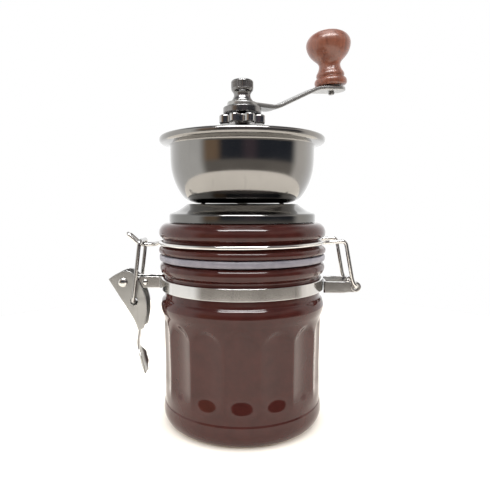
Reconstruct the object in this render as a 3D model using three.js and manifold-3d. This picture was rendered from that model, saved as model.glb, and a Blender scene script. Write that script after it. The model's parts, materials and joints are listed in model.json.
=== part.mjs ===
// Hand crank coffee grinder: a ceramic jar with a swing-top lid that carries a burr mill.
// Millimetres. Z is up, the jar stands on z = 0, the hinge is at +X and the latch at -X.
import * as THREE from 'three';
import { mergeVertices } from 'three/addons/utils/BufferGeometryUtils.js';
import Module from 'manifold-3d';

const wasm = await Module();
wasm.setup();

// ---------- driving dimensions ----------

const GAP = 0.3; // least clearance between two pieces that touch in the real object
const FINE = 36; // facets round the big round pieces
const COARSE = 20; // facets round the small ones

const FLUTES = 15;
const FLUTE_DEPTH = 1.7;
const FLUTE_HALF_ANGLE = THREE.MathUtils.degToRad(10.8);
const FLUTE_BOTTOM = 16;
const FLUTE_TOP = 61;
const NECK_RADIUS = 44.4;
const JAR_TOP = 91.7;

const BAND_Z = 79.1; // middle of the neck band, and height of the latch pivot
const BAND_HEIGHT = 6.4;
const BAND_INNER = NECK_RADIUS + 0.35;
const BAND_OUTER = 46.3;
const ARM_INNER_Y = 3.8; // the band's two turned-out ends
const ARM_THICKNESS = 1;

const PIVOT = { x: -67.8, z: BAND_Z }; // latch lever's pivot
const CLAMP = { x: -55.5, z: BAND_Z }; // clamp rivet
const WIRE_HOLE = { x: -61.7, z: 68.2 }; // the latch wire's feet in the lever
const WIRE_TOP = { x: -57.3, z: 103 }; // the latch wire's bridge over the tongue
const CHEEK_INNER_Y = 5.2;
const CHEEK_THICKNESS = 1;
const WIRE_RADIUS = 1.1;
const LATCH_WIRE_Y = 8.9;

const HINGE = { x: 63.2, z: 77.5 };
const BRACKET_BOTTOM = 74;
const BRACKET_HEIGHT = 6.4;
const BRACKET_OUTER_Y = 11.8;
const BRACKET_THICKNESS = 1.2;
const KNUCKLE_RADIUS = 2.9;
const BAIL_LEG_Y = 13.5;
const GROOVE_WIRE_RADIUS = 46.3; // middle of the bail wire in the lid's groove

const LID_BOTTOM = 95.9;
const LID_TOP = 113.3;
const THROAT_RADIUS = 17.8;
const SCREW_X = 22.5;
const SCREW_HOLE = 1.8;
const BOWL_FLOOR = 124;

const SHAFT_RADIUS = 3;
const SHAFT_HOLE = SHAFT_RADIUS + 0.35;
const SHAFT_BOTTOM = 55;
const SHAFT_TOP = 190.2;

const NUT_BOTTOM = 167.9;
const NUT_HEIGHT = 5.8;
const NUT_RADIUS = 13.6;
const NUT_LOBES = 8;
const STOPPER_BOTTOM = 174.1;
const STOPPER_TOP = 177.7;
const CAP_BOTTOM = 180.7;

const ARM_ANGLE = THREE.MathUtils.degToRad(30);
const ARM_SHEET = 2.2;
const ARM_HUB_Z = 179.2;
const ARM_LOW_BEND = 20.6;
const ARM_HIGH_BEND = { s: 50.4, z: 193.7 };
const ARM_END = { s: 73.6, z: 196.1 };
const SPINDLE_S = 64.3; // distance of the knob's spindle from the shaft

// ---------- tools ----------

const metal = (color, roughness) => new THREE.MeshStandardMaterial({ color, roughness, metalness: 1 });
const plain = (color, roughness) => new THREE.MeshStandardMaterial({ color, roughness, metalness: 0 });

// Turns a closed three.js geometry into a manifold-3d solid with its faces outward.
function solid(geometry) {
  const bare = geometry.index ? geometry.toNonIndexed() : geometry.clone();
  bare.deleteAttribute('normal');
  bare.deleteAttribute('uv');
  const merged = mergeVertices(bare, 1e-4);
  const at = merged.attributes.position;
  const corner = (i) => new THREE.Vector3().fromBufferAttribute(at, i);
  const triangles = [];
  let volume = 0;
  for (let i = 0; i < merged.index.count; i += 3) {
    const [a, b, c] = [0, 1, 2].map((k) => merged.index.getX(i + k));
    if (a === b || b === c || c === a) continue;
    triangles.push([a, b, c]);
    volume += corner(a).dot(corner(b).cross(corner(c)));
  }
  const outward = volume > 0 ? triangles : triangles.map(([a, b, c]) => [a, c, b]);
  return new wasm.Manifold(
    new wasm.Mesh({
      numProp: 3,
      vertProperties: new Float32Array(at.array),
      triVerts: new Uint32Array(outward.flat()),
    }),
  );
}

function geometryOf(body) {
  const { vertProperties, triVerts } = body.getMesh();
  const geometry = new THREE.BufferGeometry();
  geometry.setAttribute('position', new THREE.BufferAttribute(vertProperties.slice(), 3));
  geometry.setIndex(new THREE.BufferAttribute(triVerts.slice(), 1));
  geometry.computeVertexNormals();
  return geometry;
}

const grinder = new THREE.Group();

function add(name, body, material, parent = grinder) {
  const mesh = new THREE.Mesh(geometryOf(body), material);
  mesh.name = name;
  parent.add(mesh);
  return mesh;
}

// A profile of [radius, z] points turned about the Z axis.
function turnedGeometry(profile, facets) {
  const points = profile.map(([r, z]) => new THREE.Vector2(r, z));
  return new THREE.LatheGeometry(points, facets).rotateX(Math.PI / 2);
}

const turned = (profile, facets = COARSE) => solid(turnedGeometry(profile, facets));

// A profile that doesn't touch the axis, closed on itself.
const ring = (profile, facets = FINE) => turned([...profile, profile[0]], facets);

// A turned piece about a line along Y through (x, z); its profile is [radius, y].
function turnedAlongY(profile, { x, z }, facets = COARSE) {
  const geometry = turnedGeometry(profile, facets).rotateX(-Math.PI / 2);
  return solid(geometry.translate(x, 0, z));
}

function rod(radius, bottom, top, x = 0, y = 0, facets = COARSE) {
  const geometry = new THREE.CylinderGeometry(radius, radius, top - bottom, facets);
  return solid(geometry.rotateX(Math.PI / 2).translate(x, y, (bottom + top) / 2));
}

function rodAlongY(radius, from, to, { x, z }, facets = COARSE) {
  const geometry = new THREE.CylinderGeometry(radius, radius, to - from, facets);
  return solid(geometry.translate(x, (from + to) / 2, z));
}

function block(from, to) {
  const size = to.map((value, i) => value - from[i]);
  const middle = to.map((value, i) => (value + from[i]) / 2);
  return solid(new THREE.BoxGeometry(...size).translate(...middle));
}

const outline = (points) => new THREE.Shape(points.map(([x, y]) => new THREE.Vector2(x, y)));

// A shape in the XY plane raised from z = bottom.
function raised(shape, bottom, height, options = {}) {
  const geometry = new THREE.ExtrudeGeometry(shape, {
    depth: height,
    bevelEnabled: false,
    curveSegments: 8,
    ...options,
  });
  return solid(geometry.translate(0, 0, bottom));
}

// A shape in the XZ plane drawn out along Y between two values.
function drawn(shape, from, to) {
  const depth = to - from;
  const geometry = new THREE.ExtrudeGeometry(shape, { depth, bevelEnabled: false, curveSegments: 8 });
  return solid(geometry.rotateX(Math.PI / 2).translate(0, to, 0));
}

const onBothSides = (make) => make(1).add(make(-1));

// The outline of a strip of sheet that follows a line of [x, y] points.
function strip(points, thickness) {
  const line = points.map(([x, y]) => new THREE.Vector2(x, y));
  const side = (sign) =>
    line.map((point, i) => {
      const before = point.clone().sub(line[Math.max(i - 1, 0)]);
      const after = line[Math.min(i + 1, line.length - 1)].clone().sub(point);
      const [u, v] = [before, after].map((d, k) => {
        const way = d.length() ? d : [after, before][k];
        return way.clone().normalize();
      });
      const mitre = new THREE.Vector2(-(u.y + v.y), u.x + v.x).normalize();
      const reach = thickness / 2 / mitre.dot(new THREE.Vector2(-u.y, u.x));
      return point.clone().addScaledVector(mitre, sign * reach);
    });
  return new THREE.Shape([...side(1), ...side(-1).reverse()]);
}

// Straight stretches between [x, y, z] corners, each corner rounded off.
function roundedRoute(corners, radius) {
  const at = corners.map((corner) => new THREE.Vector3(...corner));
  const route = new THREE.CurvePath();
  let start = at[0];
  for (let i = 1; i < at.length - 1; i += 1) {
    const cut = (other) => {
      const way = other.clone().sub(at[i]);
      const reach = Math.min(radius, way.length() / 2);
      return at[i].clone().addScaledVector(way.normalize(), reach);
    };
    const enter = cut(at[i - 1]);
    const leave = cut(at[i + 1]);
    if (start.distanceTo(enter) > 1e-6) route.add(new THREE.LineCurve3(start, enter));
    route.add(new THREE.QuadraticBezierCurve3(enter, at[i], leave));
    start = leave;
  }
  route.add(new THREE.LineCurve3(start, at.at(-1)));
  return route;
}

function wire(route, radius, steps, sides = 8) {
  const section = Array.from({ length: sides }, (_, i) => {
    const turn = (i / sides) * 2 * Math.PI;
    return [radius * Math.cos(turn), radius * Math.sin(turn)];
  });
  const settings = { steps, extrudePath: route, bevelEnabled: false };
  return solid(new THREE.ExtrudeGeometry(outline(section), settings));
}

// ---------- materials ----------

const glaze = () => plain(0x46211e, 0.18);
const polished = () => metal(0xc9c9c6, 0.12);
const satin = () => metal(0xa9aaa5, 0.35);
const darkSteel = () => metal(0x6a6a6c, 0.25);
const wood = () => plain(0x9a5238, 0.35);
const stone = () => plain(0xe8e6e0, 0.5);

// ---------- jar ----------

// How far a flute is cut in at a height z and an angle from the flute's middle.
function fluteCut(angle, z) {
  const across = 1 - (angle / FLUTE_HALF_ANGLE) ** 2;
  if (across <= 0 || z <= FLUTE_BOTTOM || z >= FLUTE_TOP) return 0;
  const rise = Math.min(1, (z - FLUTE_BOTTOM) / 10);
  const archTop = FLUTE_TOP - 6 * (1 - across);
  const fall = THREE.MathUtils.clamp((archTop - z) / 6, 0, 1);
  return FLUTE_DEPTH * across * rise * fall;
}

function jar() {
  const profile = [
    [0, 0], [40, 0], [43.4, 1.5], [45.1, 4.2], [45.7, 7.5], [45.1, 12], [44.7, 12.6], [44.7, 16],
    [44.6, 21], [44.6, 26], [44.5, 34], [44.8, 46], [44.9, 52], [45, 58], [45.3, 61.5],
    [46.5, 64.5], [46.8, 67.6], [46, 70.2], [NECK_RADIUS, 72], [NECK_RADIUS, 84.6],
    [46.2, 85.6], [47.1, 87.8], [46.8, 90], [45.2, 91.3], [42.2, JAR_TOP], [39.6, 91.2],
    [38.5, 89.6], [38.5, 84], [39.6, 78], [39.6, 6], [0, 6],
  ];
  const geometry = turnedGeometry(profile, FLUTES * 4);
  const at = geometry.attributes.position;
  const pitch = (2 * Math.PI) / FLUTES;
  for (let i = 0; i < at.count; i += 1) {
    const [x, y, z] = [at.getX(i), at.getY(i), at.getZ(i)];
    const radius = Math.hypot(x, y);
    if (radius < 43) continue;
    const angle = Math.atan2(x, -y);
    const offset = angle - Math.round(angle / pitch) * pitch;
    const scale = 1 - fluteCut(offset, z) / radius;
    at.setXYZ(i, x * scale, y * scale, z);
  }
  return solid(geometry);
}

// ---------- neck band, latch ----------

function neckBand() {
  const [low, high] = [BAND_Z - BAND_HEIGHT / 2, BAND_Z + BAND_HEIGHT / 2];
  const hoop = ring([[BAND_INNER, low], [BAND_OUTER, low], [BAND_OUTER, high], [BAND_INNER, high]]);
  const split = block([-60, -ARM_INNER_Y, low - 1], [0, ARM_INNER_Y, high + 1]);
  const root = -BAND_INNER - 0.2;
  const end = new THREE.Shape();
  end.moveTo(root, high);
  end.lineTo(PIVOT.x, high);
  end.absarc(PIVOT.x, PIVOT.z, BAND_HEIGHT / 2, Math.PI / 2, (3 * Math.PI) / 2);
  end.lineTo(root, low);
  const arms = onBothSides((s) => {
    const [a, b] = [s * ARM_INNER_Y, s * (ARM_INNER_Y + ARM_THICKNESS)];
    return drawn(end, Math.min(a, b), Math.max(a, b));
  });
  const holes = rodAlongY(1.75, -9, 9, PIVOT).add(rodAlongY(1.2, -9, 9, CLAMP));
  return hoop.subtract(split).add(arms).subtract(holes);
}

// A rivet along Y with a domed head outside each of two plates.
function rivet(at, shank, head, plateY, domeHeight) {
  const under = plateY + GAP;
  const dome = [[0, under + domeHeight], [head * 0.6, under + domeHeight * 0.85], [head, under]];
  const half = [...dome, [shank, under]];
  const mirrored = half.map(([r, y]) => [r, -y]).reverse();
  return turnedAlongY([...half, ...mirrored], at, 16);
}

function latchLever() {
  const cheek = outline([
    [-76, 81], [-71.4, 84.2], [-66.6, 86], [-63, 85.4], [-60.3, 82.4], [-58.4, BAND_Z],
    [-57, 76], [-54.8, 69], [-54.6, 61.5], [-56.3, 52.6], [-59.4, 51.4], [-61.4, 57.6],
  ]);
  const outerY = CHEEK_INNER_Y + CHEEK_THICKNESS;
  const cheeks = onBothSides((s) =>
    s > 0 ? drawn(cheek, CHEEK_INNER_Y, outerY) : drawn(cheek, -outerY, -CHEEK_INNER_Y),
  );
  const web = drawn(strip([[-75.4, 80.8], [-61, 57.5], [-59.2, 51.6]], 1), -outerY, outerY);
  const neck = drawn(strip([[-59.8, 53.5], [-60.4, 47.5], [-60.8, 42.5]], 1), -3.4, 3.4);
  const tabLine = [[-60.6, 45.2], [-60.8, 42], [-59.8, 36], [-58.6, 30.6], [-56.9, 25.4]];
  const tab = drawn(strip(tabLine, 1), -6.6, 6.6);
  const lipLine = tabLine.slice(1).map(([x, z]) => [x + 1.1, z + 0.2]);
  const lips = onBothSides((s) => drawn(strip(lipLine, 2.2), s > 0 ? 5.6 : -6.6, s > 0 ? 6.6 : -5.6));
  const holes = rodAlongY(1.75, -9, 9, PIVOT).add(rodAlongY(1.6, -9, 9, WIRE_HOLE, 12));
  return cheeks.add(web).add(neck).add(tab).add(lips).subtract(holes);
}

function latchWire() {
  const foot = 4.4;
  const { x, z } = WIRE_HOLE;
  const route = roundedRoute(
    [
      [x, -foot, z], [x, -LATCH_WIRE_Y, z], [WIRE_TOP.x, -LATCH_WIRE_Y, WIRE_TOP.z],
      [WIRE_TOP.x, LATCH_WIRE_Y, WIRE_TOP.z], [x, LATCH_WIRE_Y, z], [x, foot, z],
    ],
    3,
  );
  return wire(route, WIRE_RADIUS, 48);
}

// ---------- hinge ----------

function hingeBracket() {
  const [inner, outer] = [BAND_OUTER + GAP, BAND_OUTER + GAP + BRACKET_THICKNESS];
  const insideY = BRACKET_OUTER_Y - BRACKET_THICKNESS;
  const end = HINGE.x - KNUCKLE_RADIUS + 0.6;
  const [wide, narrow] = [Math.asin(BRACKET_OUTER_Y / inner), Math.asin(insideY / outer)];
  const strap = new THREE.Shape();
  strap.moveTo(end, -BRACKET_OUTER_Y);
  strap.absarc(0, 0, inner, -wide, wide);
  strap.lineTo(end, BRACKET_OUTER_Y);
  strap.lineTo(end, insideY);
  strap.absarc(0, 0, outer, narrow, -narrow, true);
  strap.lineTo(end, -insideY);
  const plates = raised(strap, BRACKET_BOTTOM, BRACKET_HEIGHT);
  const [near, far] = [9, 12];
  const backKnuckle = rodAlongY(KNUCKLE_RADIUS, near, far, HINGE);
  const frontKnuckle = rodAlongY(KNUCKLE_RADIUS, -far, -near, HINGE);
  return plates.add(backKnuckle).add(frontKnuckle).subtract(rodAlongY(1.5, -20, 20, HINGE, 16));
}

// One wire: hinge, leg, round the lid's groove, hairpin tongue, and back the same way.
function bailWire() {
  const legTop = [56.8, -BAIL_LEG_Y, 103.2];
  const half = [
    [HINGE.x, -8.8, HINGE.z], [HINGE.x, -BAIL_LEG_Y, HINGE.z], [61, -BAIL_LEG_Y, 80.6], legTop,
    [47.6, -BAIL_LEG_Y, 102.6],
  ];
  const [from, to] = [-19, -173];
  const arcSteps = 14;
  for (let i = 0; i <= arcSteps; i += 1) {
    const share = i / arcSteps;
    const turn = THREE.MathUtils.degToRad(from + (to - from) * share);
    const height = 102.6 - 0.9 * share;
    half.push([GROOVE_WIRE_RADIUS * Math.cos(turn), GROOVE_WIRE_RADIUS * Math.sin(turn), height]);
  }
  half.push([-50, -2.6, 100.6], [-58.6, -2.4, 100.3], [-65.6, -2.4, 106.8]);
  const back = half.map(([x, y, z]) => [x, -y, z]).reverse();
  return wire(roundedRoute([...half, ...back], 2.4), WIRE_RADIUS, 124, 6);
}

// ---------- lid and hopper ----------

const screwHoles = (bottom, top) =>
  rod(SCREW_HOLE, bottom, top, SCREW_X, 0, 12).add(rod(SCREW_HOLE, bottom, top, -SCREW_X, 0, 12));

function lidRing() {
  const inner = THROAT_RADIUS + 0.5;
  const plugBottom = 90.6;
  const profile = [
    [inner, plugBottom], [36.5, plugBottom], [37.5, 91.6], [37.5, LID_BOTTOM], [46.2, LID_BOTTOM],
    [47.2, 96.6], [47.6, 98], [47.2, 99.4], [45.6, 100.2], [44.9, 100.8], [44.9, 104.2],
    [45.8, 104.7], [47, 105.8], [47.4, 108], [46.7, 110.6], [44.9, 112.4], [42.6, LID_TOP],
    [inner, LID_TOP],
  ];
  return ring(profile).subtract(screwHoles(plugBottom - 1, LID_TOP + 1));
}

function gasket() {
  const [bottom, top] = [JAR_TOP + 0.4, LID_BOTTOM - GAP];
  const outside = [[46.9, bottom], [47.4, bottom + 0.5], [47.4, top - 0.5], [46.9, top]];
  return ring([[37.9, bottom], ...outside, [37.9, top]]);
}

function coneCover() {
  const sheet = 0.8;
  const foot = LID_TOP + 0.4;
  const crown = BOWL_FLOOR - 0.4;
  const outer = [[41.4, foot], [41.4, 117.5], [40.8, 118.2], [37.2, 119.4], [34, 121.5], [31.3, crown]];
  const inner = [[31, crown - sheet], [33.6, 120.8], [36.9, 118.6], [40.6, 117.2], [40.6, foot]];
  const pressing = ring([...outer, [20, crown], [20, crown - sheet], ...inner]);
  return pressing.subtract(screwHoles(crown - 2, crown + 1));
}

function hopperBowl() {
  const mouth = 16;
  const outer = [
    [mouth, BOWL_FLOOR], [26, BOWL_FLOOR], [31.2, 125.4], [34, 128], [36.7, 132.5], [38.6, 136.9],
    [39.8, 141.3], [40.4, 146.5], [40.5, 153.8],
  ];
  const rim = [
    [41.3, 155.1], [43.5, 156.1], [45.4, 157.4], [46.3, 158.8], [46.3, 159.6], [45.4, 160.5], [43.2, 160.7],
    [41.2, 160.1], [39.9, 158.6],
  ];
  const inner = [
    [39.6, 153.8], [39.5, 146.5], [38.9, 141.3], [37.7, 136.9], [35.8, 132.7], [33.2, 128.7], [30.8, 126.4],
    [26, BOWL_FLOOR + 0.9], [mouth, BOWL_FLOOR + 0.9],
  ];
  return ring([...outer, ...rim, ...inner]).subtract(screwHoles(BOWL_FLOOR - 1, BOWL_FLOOR + 3));
}

function throatTube() {
  const [bottom, top, inside] = [90.9, 123.5, THROAT_RADIUS - 1.6];
  return ring([[inside, bottom], [THROAT_RADIUS, bottom], [THROAT_RADIUS, top], [inside, top]], 36);
}

function bridge() {
  const sheet = 1.6;
  const footZ = BOWL_FLOOR + 1.2 + sheet / 2;
  const line = [[-26, footZ], [-18.6, footZ], [-9.5, 146.2], [9.5, 146.2], [18.6, footZ], [26, footZ]];
  const strap = drawn(strip(line, sheet), -6, 6);
  return strap.subtract(screwHoles(BOWL_FLOOR, 140)).subtract(rod(5.4, 140, 150));
}

function upperBush() {
  return ring([[3.5, 142], [5, 142], [5, 147.3], [7.6, 147.3], [7.6, 149], [3.5, 149]], COARSE);
}

// A long pan-head screw from the bridge's foot down into the housing's flange.
function bridgeScrew(x) {
  const seat = BOWL_FLOOR + 1.2 + 1.6 + GAP;
  const shank = [[0, 87], [1.4, 87.6], [1.4, seat]];
  const head = [[3, seat], [3, seat + 1.3], [2, seat + 2], [0, seat + 2.2]];
  return turned([...shank, ...head], 12).translate([x, 0, 0]);
}

// ---------- mill under the lid ----------

function burrHousing() {
  const top = 90.3;
  const profile = [
    [16.6, top], [29, top], [29, 86.8], [22.8, 85.2], [21.4, 83], [21.4, 57], [17.8, 57], [17.8, 59],
    [19.9, 61], [19.9, 84], [16.6, 86.6],
  ];
  return ring(profile, 32).subtract(screwHoles(86.5, top + 1));
}

// Cuts teeth into a turned burr: every second facet edge is pulled in or pushed out.
function toothed(profile, facets, change) {
  const geometry = turnedGeometry(profile, facets);
  const at = geometry.attributes.position;
  for (let i = 0; i < at.count; i += 1) {
    const [x, y, z] = [at.getX(i), at.getY(i), at.getZ(i)];
    const edge = Math.round((Math.atan2(x, -y) / (2 * Math.PI)) * facets);
    const radius = Math.hypot(x, y);
    const scale = edge % 2 ? 1 + change(radius) / radius : 1;
    at.setXYZ(i, x * scale, y * scale, z);
  }
  return solid(geometry);
}

function outerBurr() {
  const bore = [[17, 79.6], [12.4, 73], [11.4, 70.3], [16.6, 61.5]];
  const profile = [[19.5, 61.5], [19.5, 79.6], ...bore, [19.5, 61.5]];
  return toothed(profile, 36, (r) => (r < 18 ? 0.8 : 0));
}

function innerBurr() {
  const cone = [[15.2, 60.5], [15.2, 62.5], [8.6, 74]];
  const profile = [[SHAFT_HOLE, 60.5], ...cone, [SHAFT_HOLE, 74], [SHAFT_HOLE, 60.5]];
  return toothed(profile, 28, (r) => (r > 8 ? -0.9 : 0));
}

function burrSpider() {
  const plate = new THREE.Shape();
  plate.absarc(0, 0, 19.5, 0, 2 * Math.PI);
  const hub = new THREE.Path();
  hub.absarc(0, 0, 5.4, 0, 2 * Math.PI);
  plate.holes.push(hub);
  const span = THREE.MathUtils.degToRad(92);
  for (let arm = 0; arm < 3; arm += 1) {
    const start = (arm / 3) * 2 * Math.PI;
    const slot = new THREE.Path();
    slot.absarc(0, 0, 16.6, start, start + span);
    slot.absarc(0, 0, 8.4, start + span, start, true);
    slot.closePath();
    plate.holes.push(slot);
  }
  return raised(plate, 80.4, 2.6);
}

function lowerBush() {
  return ring([[3.5, 79.4], [5, 79.4], [5, 83.4], [7.2, 83.4], [7.2, 85.4], [3.5, 85.4]], COARSE);
}

function burrSpring() {
  const [bottom, top, turns] = [75, 78.5, 3];
  class Helix extends THREE.Curve {
    getPoint(t) {
      const turn = t * turns * 2 * Math.PI;
      return new THREE.Vector3(4.3 * Math.cos(turn), 4.3 * Math.sin(turn), bottom + (top - bottom) * t);
    }
  }
  return wire(new Helix(), 0.45, 36, 5);
}

const burrNut = () => rod(5.4, 56.2, 60.1, 0, 0, 6).subtract(rod(SHAFT_HOLE, 55, 61));

// ---------- crank ----------

function driveShaft() {
  const [collarBottom, collarTop, collar] = [149.5, NUT_BOTTOM - 0.4, 4.3];
  return turned([
    [0, SHAFT_BOTTOM], [2.5, SHAFT_BOTTOM], [SHAFT_RADIUS, SHAFT_BOTTOM + 0.6],
    [SHAFT_RADIUS, collarBottom], [collar, collarBottom], [collar, collarTop], [SHAFT_RADIUS, collarTop],
    [SHAFT_RADIUS, SHAFT_TOP - 0.6], [2.4, SHAFT_TOP], [0, SHAFT_TOP],
  ], 20);
}

function adjustingNut() {
  const lobe = 1.2;
  const bevel = 0.7;
  const count = NUT_LOBES * 6;
  const edge = Array.from({ length: count }, (_, i) => {
    const turn = (i / count) * 2 * Math.PI;
    const radius = NUT_RADIUS - bevel - lobe * Math.cos(NUT_LOBES * turn);
    return [radius * Math.cos(turn), radius * Math.sin(turn)];
  });
  const options = { bevelEnabled: true, bevelSize: bevel, bevelThickness: bevel, bevelSegments: 1 };
  const disc = raised(outline(edge), NUT_BOTTOM + bevel, NUT_HEIGHT - 2 * bevel, options);
  return disc.subtract(rod(SHAFT_HOLE, NUT_BOTTOM - 1, NUT_BOTTOM + NUT_HEIGHT + 1));
}

// A thick washer with a lug that drops into one of the adjusting nut's notches.
function stopperPlate() {
  const [low, high, outer] = [STOPPER_BOTTOM, STOPPER_TOP, 10.8];
  const washer = ring([
    [SHAFT_HOLE, low], [outer - 0.6, low], [outer, low + 0.7], [outer, high - 0.7], [outer - 0.6, high],
    [SHAFT_HOLE, high],
  ], 36);
  const tongue = block([-1.3, 9, high - 2], [1.3, 14.6, high - 0.4]);
  const lug = block([-1.3, 13.4, NUT_BOTTOM + 1.5], [1.3, 14.6, high - 0.4]);
  return washer.add(tongue).add(lug);
}

// The arm's own frame has its length along X; s is the distance from the shaft.
function crankArm() {
  const flat = [[-9, ARM_HUB_Z], [ARM_LOW_BEND, ARM_HUB_Z]];
  const line = [...flat, [ARM_HIGH_BEND.s, ARM_HIGH_BEND.z], [ARM_END.s, ARM_END.z]];
  const side = drawn(strip(line, ARM_SHEET), -10, 10);
  const [eye, waist, pad] = [8.4, 6, 7.2];
  const plan = new THREE.Shape();
  plan.absarc(0, 0, eye, Math.PI / 4, (7 * Math.PI) / 4);
  plan.lineTo(20, -waist);
  plan.lineTo(50, -waist);
  plan.lineTo(58, -pad);
  plan.absarc(ARM_END.s - pad, 0, pad, -Math.PI / 2, Math.PI / 2);
  plan.lineTo(58, pad);
  plan.lineTo(50, waist);
  plan.lineTo(20, waist);
  const cutter = raised(plan, ARM_HUB_Z - 10, 40, { curveSegments: 12 });
  const eyeHole = rod(SHAFT_HOLE, ARM_HUB_Z - 5, ARM_HUB_Z + 5);
  return side.intersect(cutter).subtract(eyeHole).subtract(spindleHole());
}

const padSlope = Math.atan2(ARM_END.z - ARM_HIGH_BEND.z, ARM_END.s - ARM_HIGH_BEND.s);
const spindleZ = ARM_HIGH_BEND.z + (SPINDLE_S - ARM_HIGH_BEND.s) * Math.tan(padSlope);

function spindleHole() {
  const hole = new THREE.CylinderGeometry(1.95, 1.95, 12, 16).rotateX(Math.PI / 2).rotateY(-padSlope);
  return solid(hole.translate(SPINDLE_S, 0, spindleZ));
}

function capNut() {
  return turned([
    [0, SHAFT_TOP + 0.4], [SHAFT_HOLE, SHAFT_TOP + 0.4], [SHAFT_HOLE, CAP_BOTTOM], [6, CAP_BOTTOM],
    [6, 181.2], [5.1, 182.7], [4.6, 184.2], [4.9, 185.6], [5.9, 186.6], [6.2, 187.2], [6.2, 191.9],
    [5.6, 192.6], [0, 192.8],
  ], 24);
}

// The knob's own frame has Z along the spindle, with the arm's sheet round z = 0.

const knobSpindle = () => {
  const under = -ARM_SHEET / 2 - GAP;
  return turned([
    [0, under - 1.7], [1.5, under - 1.7], [1.9, under - 1.2], [1.9, under], [1.6, under], [1.6, 25.4],
    [2.9, 25.4], [2.9, 27], [2.2, 27.8], [0, 27.8],
  ], 16);
};

const spindleWasher = () => ring([[1.95, 1.4], [6.6, 1.4], [6.6, 2], [1.95, 2]], COARSE);

const knob = () =>
  ring([
    [2, 2.3], [9.4, 2.3], [10, 3.2], [10, 5.6], [9.3, 6.9], [8.6, 7.9], [8.8, 8.8], [8.4, 10],
    [7.4, 11.5], [6.7, 13.3], [6.5, 14.8], [7, 16.2], [8.2, 17.4], [9.8, 18.8], [11.4, 20.6], [12.7, 22.8],
    [13.5, 25.2], [13.7, 27], [13.4, 28.8], [12.6, 30.5], [11.2, 32.2], [8.9, 33.8], [6, 34.9], [3.5, 35.2],
    [3.5, 25], [2, 25],
  ], 24);

const knobPlug = () => turned([[0, 31], [3.1, 31], [3.1, 35.2], [1.6, 35.5], [0, 35.6]], 16);

// ---------- assembly ----------

add('jar', jar(), glaze());
add('neck_band', neckBand(), polished());
add('clamp_rivet', rivet(CLAMP, 0.85, 1.7, ARM_INNER_Y + ARM_THICKNESS, 0.8), polished());
add('lever_rivet', rivet(PIVOT, 1.4, 2.7, CHEEK_INNER_Y + CHEEK_THICKNESS, 0.9), polished());
add('hinge_bracket', hingeBracket(), satin());
add('latch_lever', latchLever(), satin());
add('latch_wire', latchWire(), polished());

add('bail_wire', bailWire(), polished());
add('lid_ring', lidRing(), glaze());
add('gasket', gasket(), plain(0xb9b9cb, 0.4));
add('cone_cover', coneCover(), polished());
add('hopper_bowl', hopperBowl(), polished());
add('throat_tube', throatTube(), satin());
add('bridge', bridge(), satin());
add('upper_bush', upperBush(), metal(0xb08d57, 0.4));
add('bridge_screw_left', bridgeScrew(-SCREW_X), darkSteel());
add('bridge_screw_right', bridgeScrew(SCREW_X), darkSteel());
add('burr_housing', burrHousing(), plain(0x2b2b2d, 0.5));
add('outer_burr', outerBurr(), stone());
add('burr_spider', burrSpider(), plain(0x2b2b2d, 0.5));
add('lower_bush', lowerBush(), metal(0xb08d57, 0.4));

add('drive_shaft', driveShaft(), darkSteel());
add('inner_burr', innerBurr(), stone());
add('burr_spring', burrSpring(), satin());
add('burr_nut', burrNut(), darkSteel());
add('adjusting_nut', adjustingNut(), polished());
add('stopper_plate', stopperPlate(), polished());
add('cap_nut', capNut(), darkSteel());

const arm = new THREE.Group();
arm.rotation.z = ARM_ANGLE;
grinder.add(arm);
add('crank_arm', crankArm(), satin(), arm);

const knobFrame = new THREE.Group();
knobFrame.position.set(SPINDLE_S, 0, spindleZ);
knobFrame.rotation.y = -padSlope;
arm.add(knobFrame);
add('knob_spindle', knobSpindle(), darkSteel(), knobFrame);
add('spindle_washer', spindleWasher(), satin(), knobFrame);
add('knob', knob(), wood(), knobFrame);
add('knob_plug', knobPlug(), wood(), knobFrame);

export default grinder;
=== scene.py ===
"""Looks of a hand crank coffee grinder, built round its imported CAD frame. Metres, +Z up, the hinge at +X.

Profiles are lists of [radius, height] corners in millimetres. Heights start at the lowest point of the
CAD node that the piece stands for, and a third number limits how far that corner is rounded off.
"""
import json
import math

import bmesh
import bpy
from mathutils import Matrix, Vector

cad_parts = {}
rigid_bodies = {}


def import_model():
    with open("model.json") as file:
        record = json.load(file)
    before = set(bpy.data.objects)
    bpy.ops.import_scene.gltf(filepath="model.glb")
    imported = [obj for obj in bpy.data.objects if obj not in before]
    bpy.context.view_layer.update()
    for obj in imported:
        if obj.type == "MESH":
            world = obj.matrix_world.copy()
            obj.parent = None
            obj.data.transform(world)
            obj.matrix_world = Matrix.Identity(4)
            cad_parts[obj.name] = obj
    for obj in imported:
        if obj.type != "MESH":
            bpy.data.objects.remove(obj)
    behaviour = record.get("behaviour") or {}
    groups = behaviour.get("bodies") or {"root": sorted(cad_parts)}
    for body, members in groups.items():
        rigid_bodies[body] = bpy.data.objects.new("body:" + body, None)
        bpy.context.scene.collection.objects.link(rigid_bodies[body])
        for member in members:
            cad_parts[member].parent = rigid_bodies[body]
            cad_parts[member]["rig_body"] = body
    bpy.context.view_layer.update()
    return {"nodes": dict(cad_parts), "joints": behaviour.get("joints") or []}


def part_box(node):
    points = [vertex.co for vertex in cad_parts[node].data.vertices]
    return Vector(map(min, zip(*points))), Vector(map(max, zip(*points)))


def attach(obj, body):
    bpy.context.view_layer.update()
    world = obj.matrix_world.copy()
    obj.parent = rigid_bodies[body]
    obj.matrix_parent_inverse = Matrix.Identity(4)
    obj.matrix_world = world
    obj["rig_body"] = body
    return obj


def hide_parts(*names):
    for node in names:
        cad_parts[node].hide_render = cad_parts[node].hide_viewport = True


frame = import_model()

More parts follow.
